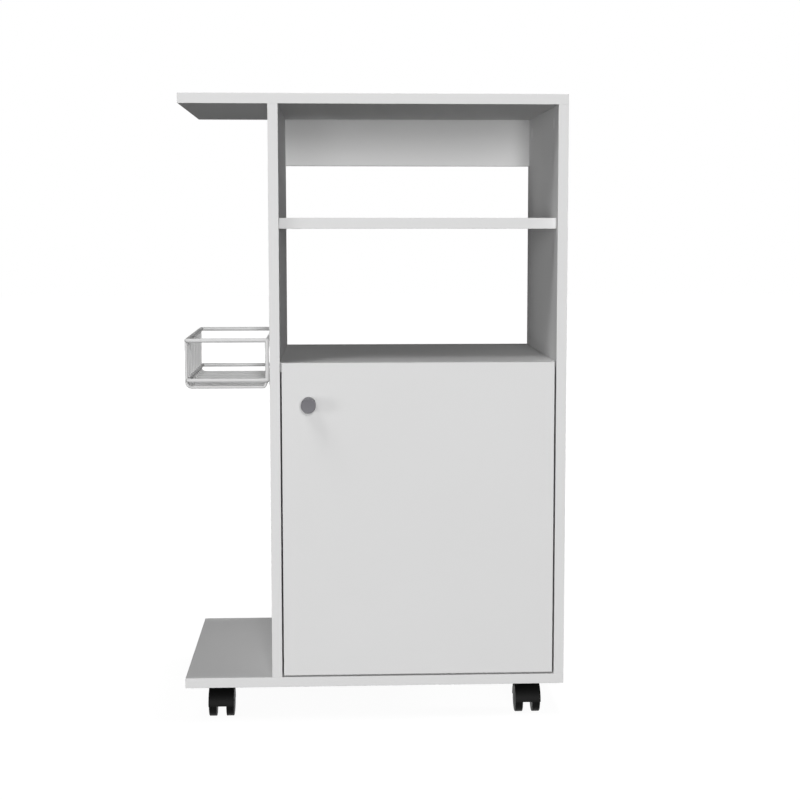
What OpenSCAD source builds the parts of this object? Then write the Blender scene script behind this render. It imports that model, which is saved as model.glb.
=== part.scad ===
// Microwave cart: a white board cabinet on four twin-wheel casters. It has an open bay for the
// oven, a fixed shelf, a cupboard with one inset door, and a wing on the left with a wire basket.
// Millimetres, +Z up, front towards -Y. The origin is on the floor, under the middle of the whole.

/* [Cabinet] */
// Outer width over the two side panels
case_w = 440; // [400:5:520]
// Depth of the boards from the front plane to the back edges
case_d = 360; // [340:5:420]
// Height from the underside of the base to the face of the top
body_h = 882; // [850:2:960]
// How far the top and the base run out past the left side panel
wing_w = 130; // [130:2:160]
// Thickness of the top, base, sides, deck and rail
board_t = 15; // [15:0.5:18]
// Thickness of the hardboard behind the cupboard
back_t = 3; // [2.5:0.5:4]
// Margin of the hardboard inside the outline that it closes
back_margin = 2; // [1:0.5:4]

/* [Shelves] */
// Height of the deck's upper face over the underside of the base
deck_h = 489; // [440:1:520]
// Height of the middle shelf's lower face over the underside of the base
shelf_h = 686; // [640:1:740]
// Thickness of the middle shelf
shelf_t = 16; // [15:0.5:18]
// Setback of the middle shelf's front edge
shelf_setback = 17; // [5:1:25]
// Height of the rail under the top, at the back
rail_h = 77; // [60:1:100]

/* [Door] */
// Thickness of the door
door_t = 15; // [15:0.5:16]
// Gap round the door at the sides and below
door_gap = 2.5; // [2.2:0.1:3.5]
// Thickness of the door stops
bumper_t = 1.9; // [1.5:0.1:3]
// Diameter of the door stops
bumper_d = 10; // [8:0.5:12]
// Distance of the outer stop from the left side panel
bumper_inset = 30; // [20:1:60]
// Diameter of the knob
knob_d = 21.5; // [16:0.5:30]
// Length of the knob
knob_l = 28; // [20:0.5:36]
// Distance of the knob from the door's free edge
knob_inset = 39.5; // [25:0.5:60]
// Distance of the knob below the door's top edge
knob_drop = 61; // [40:0.5:90]
// Chamfer round the knob's face
knob_chamfer = 0.8; // [0.4:0.1:1.5]

/* [Hinges] */
// Distance of each hinge from the door's top or bottom edge
hinge_inset = 85; // [60:1:110]
// Diameter of the hinge cup
cup_d = 35; // [35:0.5:37]
// Depth of the hinge cup in the door
cup_depth = 12; // [11.6:0.1:12.2]
// Wall of the hinge cup
cup_wall = 0.8; // [0.6:0.1:1]
// Distance of the cup's centre from the door's hinged edge
cup_edge = 22.5; // [22:0.1:23]
// Distance of the hinge pin from the door's hinged edge
pin_edge = 12; // [11.5:0.1:12.5]
// Diameter of the hinge pin
pin_d = 3; // [2.8:0.1:3.2]
// Outer diameter of the arm's knuckle
knuckle_d = 5; // [4.8:0.1:5.2]
// Width of the arm that goes into the cup
arm_w = 13; // [10:0.5:13.5]
// Thickness of the arm
arm_t = 1.5; // [1.2:0.1:1.6]
// Width of the arm's foot on the side panel
foot_w = 22; // [18:0.5:30]
// Length from the hinge pin to the end of the arm's foot
foot_reach = 68; // [60:1:76]
// Distance from the hinge pin to the first foot screw
foot_screw_a = 36; // [32:0.5:40]
// Distance between the two foot screws
foot_pitch = 22; // [16:0.5:24]

/* [Basket] */
// Width of the basket from the side panel to the outer wires
basket_w = 125; // [100:1:128]
// Depth of the basket
basket_d = 265; // [220:1:320]
// Height of the basket
basket_h = 75; // [60:1:100]
// Height of the basket's lowest wires over the underside of the base
basket_z = 450.5; // [380:0.5:520]
// Diameter of the bent wires
wire_d = 4; // [3:0.1:5]
// Diameter of the two rings
ring_d = 6; // [5.6:0.1:7]
// Radius of the rings' corners, at the middle of the rod
ring_bend = 5; // [4.5:0.5:10]
// Diameter of the posts at the side panel
post_d = 5.5; // [4.5:0.1:5.5]
// Height of the lower ring over the basket's lowest wires
ring_lift = 13; // [11:0.5:20]
// Radius of the bends, at the middle of the wire
bend_r = 8; // [6:0.5:12]
// Number of bent wires
wire_count = 10; // [6:1:14]
// Thickness of the screw tabs
tab_t = 2; // [1.5:0.1:3]
// Height of the screw tabs under the middle of their ring
tab_h = 14; // [13:0.5:18]
// Width of the screw tabs
tab_w = 16; // [12:0.5:22]

/* [Casters] */
// Height of the casters from the floor to the underside of the base
caster_h = 53; // [53:0.5:58]
// Diameter of a wheel
wheel_d = 41; // [36:0.5:41]
// Width of a wheel over its domed face
wheel_w = 12.8; // [10:0.2:15]
// Gap between the two wheels of a caster
wheel_gap = 14.6; // [14.6:0.2:18]
// How far the axle trails the swivel axis
trail = 18; // [16:0.5:20]
// Distance of the swivel axis from the end of the base
caster_in_x = 52; // [40:1:70]
// Distance of the swivel axis from the front or back edge of the base
caster_in_y = 53; // [48:1:70]
// Side of the caster's square plate
plate_w = 38; // [36:1:44]
// Thickness of the caster's plate
plate_t = 2; // [1.5:0.1:2.5]
// Diameter of the kingpin
stem_d = 8; // [6:0.5:9]
// Diameter of the axle
axle_d = 6; // [5:0.5:7]

/* [Joinery] */
// Distance of the outer joints from the front plane and the back edges
joint_inset = 50; // [40:1:70]
// Diameter of a cam lock
cam_d = 15; // [12:0.5:16]
// Depth of a cam lock's bore
cam_depth = 12.5; // [11.5:0.1:13]
// Distance of a cam lock from the end of its board
cam_inset = 24; // [20:0.5:34]
// Diameter of the cap over a cam lock
cap_d = 17.5; // [17:0.5:20]
// Thickness of the cap over a cam lock
cap_t = 0.8; // [0.5:0.1:1.2]
// Diameter of a cam bolt's thread
bolt_d = 5; // [4:0.5:6]
// Diameter of a cam bolt's head
bolt_head_d = 7; // [6.5:0.1:7.5]
// Diameter of a dowel
dowel_d = 8; // [6:0.5:8]
// Length of a dowel
dowel_l = 30; // [25:1:35]
// Length of a dowel that is in the face of the other board
dowel_in = 10; // [8:0.5:11]
// Length of a base screw
base_screw_l = 50; // [40:1:60]
// Diameter of a base screw
base_screw_d = 6; // [5:0.5:7]
// Diameter of the small wood screws
screw_d = 3.5; // [3:0.1:4]
// Length of the small wood screws
screw_l = 12; // [10:0.5:13]
// Diameter of the small screws' heads
screw_head_d = 6.6; // [6:0.1:7]
// Height of the small screws' heads
screw_head_h = 1.8; // [1.4:0.1:2]
// Nails along each upright edge of the hardboard
nail_rows = 4; // [3:1:6]

/* [Hidden] */
corner_names = ["front_left", "front_right", "rear_left", "rear_right"];
side_names = ["left", "right"];

$fn = 48;
eps = 0.01;
fit = 0.05;
slip = 0.3;
fixed_fit = 0.02;
end_play = 0.5;

// Colours of the pieces as they look
white_board = [0.86, 0.86, 0.86];
grey_board = [0.78, 0.77, 0.75];
white_cap = [0.9, 0.9, 0.9];
knob_grey = [0.48, 0.48, 0.48];
wire_grey = [0.8, 0.8, 0.8];
zinc = [0.72, 0.73, 0.75];
bare_wood = [0.8, 0.66, 0.46];
clear_rubber = [0.85, 0.87, 0.88];
black_plastic = [0.08, 0.08, 0.08];

// Planes of the cabinet
total_w = wing_w + case_w;
x_end_l = -total_w / 2;
x_end_r = total_w / 2;
x_out_l = x_end_l + wing_w;
x_in_l = x_out_l + board_t;
x_in_r = x_end_r - board_t;
bay_w = x_in_r - x_in_l;
y_front = (knob_l - case_d - back_t) / 2;
y_back = y_front + case_d;
y_mid = (y_front + y_back) / 2;
z_under = caster_h;
z_floor = z_under + board_t;
z_top = z_under + body_h;
z_ceiling = z_top - board_t;
z_deck = z_under + deck_h;
z_shelf = z_under + shelf_h;
joint_rows = [y_front + joint_inset, y_back - joint_inset];
side_mid = [x_out_l + board_t / 2, x_end_r - board_t / 2];

// Planes of the door
door_rest = 0.1;
x_door_l = x_in_l + door_gap;
x_door_r = x_in_r - door_gap;
z_door = z_floor + door_gap;
y_deck = y_front + door_t + bumper_t + door_rest;
x_knob = x_door_l + knob_inset;
z_knob = z_deck - knob_drop;
knob_screw_d = 4;
knob_screw_in = 10;
knob_head_d = 8;
knob_head_h = 2.4;

// Planes of the hinges
x_cup = x_door_r - cup_edge;
x_pin = x_door_r - pin_edge;
y_door_back = y_front + door_t;
y_pin = y_door_back - cup_depth + cup_wall + knuckle_d / 2 + slip;
hinge_z = [z_door + hinge_inset, z_deck - hinge_inset];
swing_r = norm([x_door_r - x_pin, y_door_back - y_pin]);
swing_gap = 0.8;
cup_ir = cup_d / 2 - cup_wall;
lug_in = arm_w / 2 + 0.7;
lug_out = 12.4;
lug_r = 3.2;
wing_in = 13;
wing_out = 30;
wing_half = 7;
wing_t = 1.2;
cup_screw_z = 24;

// Path of the hinge arm from the pin, round the door's edge, to the side panel
arm_path = [
    [x_pin, y_pin],
    [x_pin - 9.7, y_pin + 2.6],
    [x_pin - 12.7, y_pin + 10.4],
    [x_pin - 7.5, y_pin + 16.6],
    [x_in_r - 4, y_pin + 16.6],
    [x_in_r - arm_t / 2, y_pin + 20],
    [x_in_r - arm_t / 2, y_pin + foot_reach]
];
foot_start = 24;
foot_screws = [foot_screw_a, foot_screw_a + foot_pitch];

// Planes of the basket
weld = 0.4;
ring_in = (wire_d + ring_d) / 2 - weld;
x_ring_l = x_out_l - basket_w + ring_d / 2;
x_ring_r = x_out_l - tab_t + weld - ring_d / 2;
x_leg_l = x_out_l - basket_w + wire_d / 2;
x_leg_r = x_ring_r - ring_in;
z_wire = z_under + basket_z + wire_d / 2;
z_ring_lo = z_under + basket_z + ring_lift;
z_ring_hi = z_under + basket_z + basket_h - ring_d / 2;
y_ring_a = y_front + ring_d / 2;
y_ring_b = y_front + basket_d - ring_d / 2;
wire_a = y_ring_a + ring_bend + ring_in;
wire_b = y_ring_b - ring_bend - ring_in;
wire_pitch = (wire_b - wire_a) / (wire_count - 1);
leg_past = 2;
post_in = ring_bend * (1 - sqrt(0.5));
tab_gaps = [1, wire_count - 3];
tab_y = [for (g = tab_gaps) wire_a + (g + 0.5) * wire_pitch];
tab_screw = (tab_h + ring_d / 2) / 2;

// Planes of a caster, seen from its swivel axis
wheel_r = wheel_d / 2;
race_d = 26;
race_h = 2.8;
z_race = caster_h - plate_t - race_h;
z_hood = z_race - slip;
hood_flange_h = 1.7;
fender_gap = 1.2;
fender_t = 2;
fender_w = 2 * wheel_w + wheel_gap - 1.8;
web_w = wheel_gap - 1;
housing_d = web_w - 0.2;
boss_r = axle_d / 2 + 3.4;
stem_depth = 20;
dome = 1.2;
wheel_wall = 2.6;
plate_hole = plate_w / 2 - 5;
caster_screw_d = 4;

function caster_at(i) = [
    i % 2 == 0 ? x_end_l + caster_in_x : x_end_r - caster_in_x,
    i < 2 ? y_front + caster_in_y : y_back - caster_in_y,
    0
];

// Nails that hold the hardboard
nail_d = 1.6;
nail_l = 18;
nail_head_d = 3.6;
nail_head_t = 0.8;
nail_end = 45;
nail_span = z_deck - z_under - 2 * nail_end;
nail_cross = 3;
nails = concat(
    [for (x = side_mid, k = [0 : nail_rows - 1])
        [x, z_under + nail_end + k * nail_span / (nail_rows - 1)]],
    [for (z = [z_under + board_t / 2, z_deck - board_t / 2], k = [1 : nail_cross])
        [x_in_l + k * bay_w / (nail_cross + 1), z]]
);

// ---------- shapes that repeat ----------

module board(x0, x1, y0, y1, z0, z1) {
    translate([x0, y0, z0]) cube([x1 - x0, y1 - y0, z1 - z0]);
}

// A round bar along +X from x = a to x = b
module bar(d, a, b) {
    translate([a, 0, 0]) rotate([0, 90, 0]) cylinder(d = d, h = b - a);
}

// A round bar between two points that lie along one axis
module rod(p, q, d) {
    v = q - p;
    turn = abs(v[0]) > eps ? [0, 90, 0] : abs(v[1]) > eps ? [-90, 0, 0] : [0, 0, 0];
    translate(p) rotate(turn) cylinder(d = d, h = norm(v));
}

// A pan-head screw: its head stands on z = 0 and its shank goes down
module pan_screw(d, l, head_d, head_h) {
    difference() {
        union() {
            translate([0, 0, -l]) cylinder(d = d, h = l);
            cylinder(d1 = head_d, d2 = head_d * 0.72, h = head_h);
        }
        for (a = [0, 90]) rotate([0, 0, a])
            translate([-head_d * 0.26, -0.4, head_h * 0.45]) cube([head_d * 0.52, 0.8, head_h]);
    }
}

// Outline of a strip of thickness t along a path, with mitred corners
function square_to(a, b) = let (v = b - a) [-v[1], v[0]] / norm(v);
function mitre(p, i, h) =
    i == 0 ? p[0] + h * square_to(p[0], p[1]) :
    i == len(p) - 1 ? p[i] + h * square_to(p[i - 1], p[i]) :
    let (m = square_to(p[i - 1], p[i]), n = square_to(p[i], p[i + 1]))
        p[i] + h * (m + n) / (1 + m * n);
function strip(p, t) = concat(
    [for (i = [0 : len(p) - 1]) mitre(p, i, t / 2)],
    [for (i = [len(p) - 1 : -1 : 0]) mitre(p, i, -t / 2)]
);

// ---------- where the joints are ----------
// Each joint's own frame starts where two boards meet. Its +X goes into the end of the board that
// holds the cam, and its +Z goes to the face that the cam is set in.

module top_joints(rows = joint_rows) {
    for (s = [0, 1], y = rows)
        translate([side_mid[s], y, z_ceiling]) rotate([0, 0, 180 * s]) rotate([0, 90, 0]) children();
}

module level_joints(z, rows = joint_rows) {
    for (y = rows) {
        translate([x_in_l, y, z]) rotate([180, 0, 0]) children();
        translate([x_in_r, y, z]) rotate([0, 180, 0]) children();
    }
}

module deck_joints(rows = joint_rows) {
    level_joints(z_deck - board_t / 2, rows) children();
}

module shelf_joints(rows = joint_rows) {
    level_joints(z_shelf + shelf_t / 2, rows) children();
}

module rail_joints(drop = rail_h * 0.3) {
    z = z_ceiling - drop;
    y = y_back - board_t / 2;
    translate([x_in_l, y, z]) rotate([-90, 0, 0]) children();
    translate([x_in_r, y, z]) rotate([0, 0, 180]) rotate([90, 0, 0]) children();
}

module base_joints(rows = joint_rows) {
    for (x = side_mid, y = rows) translate([x, y, z_floor]) rotate([0, -90, 0]) children();
}

rail_dowel_drop = rail_h * 0.72;
mid_row = [y_mid];

// ---------- joinery, in a joint's own frame ----------

module cam_bore(t) {
    translate([cam_inset, 0, t / 2 - cam_depth]) cylinder(d = cam_d + 2 * fit, h = cam_depth + 1);
    bar(bolt_head_d + 2 * slip, -eps, cam_inset);
}

module bolt_bore() {
    bar(bolt_d + 2 * fit, -bolt_in - end_play, eps);
}

bolt_in = 10.5;
bolt_head_l = 4;

module dowel_bore() {
    bar(dowel_d + 2 * fit, -dowel_in - end_play, dowel_l - dowel_in + end_play);
}

module cam_lock(t) {
    z0 = t / 2 - cam_depth + fit;
    z1 = t / 2 - fit;
    slot = bolt_head_d + 2 * slip;
    cross = cam_d * 0.5;
    translate([cam_inset, 0, 0]) difference() {
        translate([0, 0, z0]) cylinder(d = cam_d, h = z1 - z0);
        translate([-cam_d, -slot / 2, -slot / 2]) cube([cam_d + bolt_head_d / 2, slot, slot]);
        for (a = [0, 90]) rotate([0, 0, a])
            translate([-cross / 2, -0.6, z1 - 1.6]) cube([cross, 1.2, 2]);
    }
}

module cam_bolt() {
    bar(bolt_d, -bolt_in, cam_inset - bolt_head_l / 2);
    bar(bolt_head_d, cam_inset - bolt_head_l / 2, cam_inset + bolt_head_l / 2);
}

module cam_cap(t) {
    translate([cam_inset, 0, t / 2]) cylinder(d1 = cap_d, d2 = cap_d - cap_t, h = cap_t);
}

module dowel() {
    bar(dowel_d, -dowel_in, dowel_l - dowel_in);
}

module base_screw(grow = 0, past = 0) {
    head_d = base_screw_d + 4;
    head_h = 3;
    translate([-board_t, 0, 0]) rotate([0, 90, 0]) union() {
        translate([0, 0, -past]) cylinder(d = base_screw_d + 2 * grow, h = base_screw_l + 2 * past);
        translate([0, 0, -eps * sign(past)])
            cylinder(d1 = head_d + 2 * grow, d2 = base_screw_d + 2 * grow, h = head_h + eps * sign(past));
    }
}

// ---------- boards ----------

module top_panel() {
    color(white_board) difference() {
        board(x_end_l, x_end_r, y_front, y_back, z_ceiling, z_top);
        top_joints() bolt_bore();
        top_joints(mid_row) dowel_bore();
    }
}

module side_panel(x0) {
    difference() {
        board(x0, x0 + board_t, y_front, y_back, z_floor, z_ceiling);
        top_joints() cam_bore(board_t);
        top_joints(mid_row) dowel_bore();
        deck_joints() bolt_bore();
        deck_joints(mid_row) dowel_bore();
        shelf_joints() bolt_bore();
        shelf_joints(mid_row) dowel_bore();
        rail_joints() bolt_bore();
        rail_joints(rail_dowel_drop) dowel_bore();
        base_joints() base_screw(fit, end_play);
        base_joints(mid_row) dowel_bore();
        nail_holes();
        children();
    }
}

module left_side_panel() {
    color(white_board) side_panel(x_out_l) basket_screw_places() screw_hole();
}

module right_side_panel() {
    color(white_board) side_panel(x_in_r) foot_screw_places() screw_hole();
}

module base_panel() {
    color(white_board) difference() {
        board(x_end_l, x_end_r, y_front, y_back, z_under, z_floor);
        base_joints() base_screw(fit, end_play);
        base_joints(mid_row) dowel_bore();
        caster_screw_places() translate([0, 0, -screw_l - end_play])
            cylinder(d = caster_screw_d + 2 * fit, h = screw_l + end_play);
        nail_holes();
    }
}

module deck_panel() {
    color(white_board) difference() {
        board(x_in_l, x_in_r, y_deck, y_back, z_deck - board_t, z_deck);
        deck_joints() cam_bore(board_t);
        deck_joints(mid_row) dowel_bore();
        nail_holes();
        // Clears the back corner of the door as it swings
        board(x_pin - swing_r, x_in_r + 1, y_deck - 1, y_pin + swing_r + swing_gap,
            z_deck - board_t - 1, z_deck + 1);
    }
}

module middle_shelf() {
    color(white_board) difference() {
        board(x_in_l, x_in_r, y_front + shelf_setback, y_back, z_shelf, z_shelf + shelf_t);
        shelf_joints() cam_bore(shelf_t);
        shelf_joints(mid_row) dowel_bore();
    }
}

module back_rail() {
    color(white_board) difference() {
        board(x_in_l, x_in_r, y_back - board_t, y_back, z_ceiling - rail_h, z_ceiling);
        rail_joints() cam_bore(board_t);
        rail_joints(rail_dowel_drop) dowel_bore();
    }
}

module back_panel() {
    color(grey_board) difference() {
        board(x_out_l + back_margin, x_end_r - back_margin, y_back, y_back + back_t,
            z_under + back_margin, z_deck - back_margin);
        nail_places() nail(fit, end_play);
    }
}

// ---------- joinery pieces ----------

module cam_locks() {
    color(zinc) {
        top_joints() cam_lock(board_t);
        deck_joints() cam_lock(board_t);
        shelf_joints() cam_lock(shelf_t);
        rail_joints() cam_lock(board_t);
    }
}

module cam_bolts() {
    color(zinc) {
        top_joints() cam_bolt();
        deck_joints() cam_bolt();
        shelf_joints() cam_bolt();
        rail_joints() cam_bolt();
    }
}

module cam_caps() {
    color(white_cap) {
        top_joints() cam_cap(board_t);
        deck_joints() cam_cap(board_t);
        shelf_joints() cam_cap(shelf_t);
        rail_joints() cam_cap(board_t);
    }
}

module wood_dowels() {
    color(bare_wood) {
        top_joints(mid_row) dowel();
        deck_joints(mid_row) dowel();
        shelf_joints(mid_row) dowel();
        rail_joints(rail_dowel_drop) dowel();
        base_joints(mid_row) dowel();
    }
}

module base_screws() {
    color(zinc) base_joints() difference() {
        base_screw();
        translate([-board_t - eps, 0, 0]) rotate([0, 90, 0]) cylinder(d = 4, h = 2.5, $fn = 6);
    }
}

// A nail stands in the hardboard's back face, with its head flush
module nail(grow = 0, past = 0) {
    rotate([90, 0, 0]) union() {
        translate([0, 0, -past]) cylinder(d = nail_head_d + 2 * grow, h = nail_head_t + past + grow);
        cylinder(d = nail_d + 2 * grow, h = nail_l + past);
    }
}

module nail_places() {
    for (n = nails) translate([n[0], y_back + back_t, n[1]]) children();
}

module nail_holes() {
    nail_places() nail(fit, end_play);
}

module back_panel_nails() {
    color(zinc) nail_places() nail();
}

// ---------- door ----------

module door_bumpers() {
    color(clear_rubber) for (x = [x_in_l + bumper_inset, (x_in_l + x_in_r) / 2])
        translate([x, y_deck, z_deck - board_t / 2]) rotate([90, 0, 0])
            cylinder(d1 = bumper_d, d2 = bumper_d - 1, h = bumper_t);
}

module door_panel() {
    color(white_board) difference() {
        board(x_door_l, x_door_r, y_front, y_door_back, z_door, z_deck);
        translate([x_knob, y_front - eps, z_knob]) rotate([-90, 0, 0])
            cylinder(d = knob_screw_d + 2 * fit, h = door_t + 1);
        for (z = hinge_z) translate([x_cup, y_door_back - cup_depth - fit, z]) rotate([-90, 0, 0])
            cylinder(d = cup_d + 2 * fit, h = cup_depth + 1);
        cup_screw_places(y_door_back) screw_hole();
    }
}

module door_knob() {
    color(knob_grey) translate([x_knob, y_front, z_knob]) rotate([90, 0, 0]) difference() {
        union() {
            cylinder(d = knob_d, h = knob_l - knob_chamfer);
            translate([0, 0, knob_l - knob_chamfer])
                cylinder(d1 = knob_d, d2 = knob_d - 2 * knob_chamfer, h = knob_chamfer);
        }
        translate([0, 0, -eps]) cylinder(d = knob_screw_d + 2 * fit, h = knob_screw_in + end_play);
    }
}

module knob_screw() {
    color(zinc) translate([x_knob, y_door_back, z_knob]) rotate([-90, 0, 0])
        pan_screw(knob_screw_d, door_t + knob_screw_in, knob_head_d, knob_head_h);
}

// ---------- hinges ----------

module cup_screw_places(y) {
    for (z = hinge_z, s = [-1, 1]) translate([x_cup, y, z + s * cup_screw_z]) rotate([-90, 0, 0]) children();
}

module foot_screw_places(inset = 0) {
    for (z = hinge_z, d = foot_screws)
        translate([x_in_r - inset, y_pin + d, z]) rotate([0, -90, 0]) children();
}

module screw_hole() {
    translate([0, 0, -screw_l - end_play]) cylinder(d = screw_d + 2 * fit, h = screw_l + end_play + 1);
}

// The cup stands on z = 0 with its mouth up, x towards the door's hinged edge
module hinge_cup() {
    pin_x = cup_edge - pin_edge;
    pin_h = y_pin - (y_door_back - cup_depth);
    difference() {
        union() {
            cylinder(d = cup_d, h = cup_depth);
            for (s = [-1, 1]) translate([-wing_half, s > 0 ? wing_in : -wing_out, cup_depth])
                cube([2 * wing_half, wing_out - wing_in, wing_t]);
        }
        difference() {
            translate([0, 0, cup_wall]) cylinder(r = cup_ir, h = cup_depth + wing_t);
            for (s = [-1, 1]) translate([pin_x - lug_r, s > 0 ? lug_in : -lug_out, 0])
                cube([cup_d, lug_out - lug_in, pin_h + lug_r]);
        }
        translate([pin_x, lug_out - eps, pin_h]) rotate([90, 0, 0])
            cylinder(d = pin_d + 2 * fixed_fit, h = 2 * lug_out - 2 * eps);
        for (s = [-1, 1]) translate([0, s * cup_screw_z, cup_depth - 1])
            cylinder(d = screw_d + 0.4, h = wing_t + 2);
    }
}

module hinge_cups() {
    color(zinc) for (z = hinge_z) translate([x_cup, y_door_back - cup_depth, z]) rotate([-90, 0, 0]) hinge_cup();
}

module hinge_cup_screws() {
    color(zinc) cup_screw_places(y_door_back + wing_t)
        pan_screw(screw_d, screw_l, screw_head_d, screw_head_h);
}

module hinge_pins() {
    color(zinc) for (z = hinge_z) translate([x_pin, y_pin, z - lug_out + 0.1])
        cylinder(d = pin_d, h = 2 * lug_out - 0.2);
}

module hinge_arm() {
    difference() {
        union() {
            translate([0, 0, -arm_w / 2]) linear_extrude(height = arm_w) polygon(strip(arm_path, arm_t));
            translate([x_pin, y_pin, -arm_w / 2]) cylinder(d = knuckle_d, h = arm_w);
            translate([x_in_r - arm_t, y_pin + foot_start, -foot_w / 2])
                cube([arm_t, foot_reach - foot_start, foot_w]);
        }
        translate([x_pin, y_pin, -arm_w]) cylinder(d = pin_d + 2 * fit, h = 2 * arm_w);
        for (d = foot_screws) translate([x_in_r + 1, y_pin + d, 0]) rotate([0, -90, 0])
            cylinder(d = screw_d + 0.4, h = arm_t + 2);
    }
}

module hinge_arms() {
    color(zinc) for (z = hinge_z) translate([0, 0, z]) hinge_arm();
}

module hinge_arm_screws() {
    color(zinc) foot_screw_places(arm_t) pan_screw(screw_d, screw_l, screw_head_d, screw_head_h);
}

// ---------- basket ----------

// A quarter bend that starts along +X at the origin and turns to +Y
module bend(r, d) {
    translate([0, r, 0]) rotate([0, 0, -90]) rotate_extrude(angle = 90) translate([r, 0]) circle(d = d);
}

// A closed ring with rounded corners at height z
module ring(x0, x1, z) {
    r = ring_bend;
    for (y = [y_ring_a, y_ring_b]) rod([x0 + r, y, z], [x1 - r, y, z], ring_d);
    for (x = [x0, x1]) rod([x, y_ring_a + r, z], [x, y_ring_b - r, z], ring_d);
    translate([x1 - r, y_ring_a, z]) bend(r, ring_d);
    translate([x1, y_ring_b - r, z]) rotate([0, 0, 90]) bend(r, ring_d);
    translate([x0 + r, y_ring_b, z]) rotate([0, 0, 180]) bend(r, ring_d);
    translate([x0, y_ring_a + r, z]) rotate([0, 0, 270]) bend(r, ring_d);
}

// One wire: down from the upper ring, across the floor, and up to the lower ring
module bent_wire(y) {
    r = bend_r;
    rod([x_leg_l + r, y, z_wire], [x_leg_r - r, y, z_wire], wire_d);
    rod([x_leg_l, y, z_wire + r], [x_leg_l, y, z_ring_hi], wire_d);
    rod([x_leg_r, y, z_wire + r], [x_leg_r, y, z_ring_lo + leg_past], wire_d);
    translate([x_leg_r - r, y, z_wire]) rotate([90, 0, 0]) bend(r, wire_d);
    translate([x_leg_l + r, y, z_wire]) rotate([90, 0, 180]) bend(r, wire_d);
}

// The posts stand in the rings' corners at the side panel
module corner_posts() {
    x = x_ring_r - post_in;
    for (y = [y_ring_a + post_in, y_ring_b - post_in]) rod([x, y, z_ring_lo], [x, y, z_ring_hi], post_d);
}

module tab_places() {
    for (y = tab_y, z = [z_ring_lo, z_ring_hi]) translate([x_out_l, y, z]) children();
}

module basket_screw_places(inset = 0) {
    tab_places() translate([-inset, 0, -tab_screw]) rotate([0, -90, 0]) children();
}

module wire_basket() {
    color(wire_grey) difference() {
        union() {
            ring(x_ring_l, x_ring_r, z_ring_hi);
            ring(x_leg_l + ring_in, x_ring_r, z_ring_lo);
            for (k = [0 : wire_count - 1]) bent_wire(wire_a + k * wire_pitch);
            corner_posts();
            tab_places() translate([-tab_t, -tab_w / 2, -tab_h]) cube([tab_t, tab_w, tab_h]);
        }
        basket_screw_places() translate([0, 0, -1]) cylinder(d = screw_d + 0.4, h = tab_t + 2);
    }
}

module basket_screws() {
    color(zinc) basket_screw_places(tab_t) pan_screw(screw_d, screw_l, screw_head_d, screw_head_h);
}

// ---------- casters ----------

module caster_screw_places(drop = 0) {
    for (i = [0 : 3], a = [-1, 1], b = [-1, 1])
        translate(caster_at(i) + [a * plate_hole, b * plate_hole, z_under - drop])
            rotate([180, 0, 0]) children();
}

module caster_screws() {
    color(zinc) caster_screw_places(plate_t)
        pan_screw(caster_screw_d, screw_l, screw_head_d, screw_head_h);
}

module caster_plate() {
    color(black_plastic) difference() {
        union() {
            translate([-plate_w / 2, -plate_w / 2, caster_h - plate_t]) cube([plate_w, plate_w, plate_t]);
            translate([0, 0, z_race]) cylinder(d1 = race_d - 2, d2 = race_d, h = race_h + eps);
        }
        translate([0, 0, z_race - 1]) cylinder(d = stem_d + 2 * fixed_fit, h = caster_h);
        for (a = [-1, 1], b = [-1, 1]) translate([a * plate_hole, b * plate_hole, z_race])
            cylinder(d = caster_screw_d + 0.4, h = caster_h);
    }
}

module caster_kingpin() {
    color(zinc) translate([0, 0, z_hood - stem_depth]) cylinder(d = stem_d, h = caster_h - slip - z_hood + stem_depth);
}

// The hood covers the upper half of both wheels and carries the axle
module caster_hood() {
    inner = wheel_r + fender_gap;
    outer = inner + fender_t;
    housing_z = wheel_r + boss_r;
    color(black_plastic) difference() {
        union() {
            translate([0, -trail, wheel_r]) rotate([90, 0, 90]) {
                translate([0, 0, -fender_w / 2]) linear_extrude(height = fender_w) difference() {
                    circle(r = outer);
                    circle(r = inner);
                    translate([-2 * outer, -4 * outer]) square(4 * outer);
                }
                translate([0, 0, -web_w / 2]) linear_extrude(height = web_w) {
                    difference() {
                        circle(r = inner + fender_t / 2);
                        translate([-2 * outer, -4 * outer]) square(4 * outer);
                    }
                    circle(r = boss_r);
                }
            }
            translate([0, 0, housing_z]) cylinder(d = housing_d, h = z_hood - housing_z);
            translate([0, 0, z_hood - hood_flange_h]) cylinder(d = race_d - 4, h = hood_flange_h);
        }
        translate([0, 0, z_hood - stem_depth - end_play]) cylinder(d = stem_d + 2 * fit, h = stem_depth + 1);
        translate([0, -trail, wheel_r]) bar(axle_d + 2 * fixed_fit, -web_w, web_w);
    }
}

module caster_axle() {
    half = wheel_gap / 2 + wheel_w - wheel_wall - end_play;
    color(zinc) translate([0, -trail, wheel_r]) bar(axle_d, -half, half);
}

// A wheel's section from its inner face to its domed outer face
module caster_wheel(side) {
    a = wheel_gap / 2;
    b = a + wheel_w;
    edge = 1.4;
    rim = b - dome;
    steps = 6;
    profile = concat(
        [[0, a], [wheel_r - edge / 2, a], [wheel_r, a + edge / 2]],
        [for (k = [0 : steps]) let (t = 90 * k / steps)
            [wheel_r - edge + edge * cos(t), rim - edge + edge * sin(t)]],
        [for (k = [1 : steps]) let (r = (wheel_r - edge) * (1 - k / steps))
            [r, b - dome * pow(r / (wheel_r - edge), 2)]]
    );
    color(black_plastic) translate([0, -trail, wheel_r]) rotate([0, 90 * side, 0]) difference() {
        rotate_extrude($fn = 72) polygon(profile);
        translate([0, 0, a - 1]) cylinder(d = axle_d + 2 * fit, h = 1 + wheel_w - wheel_wall);
    }
}

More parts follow.
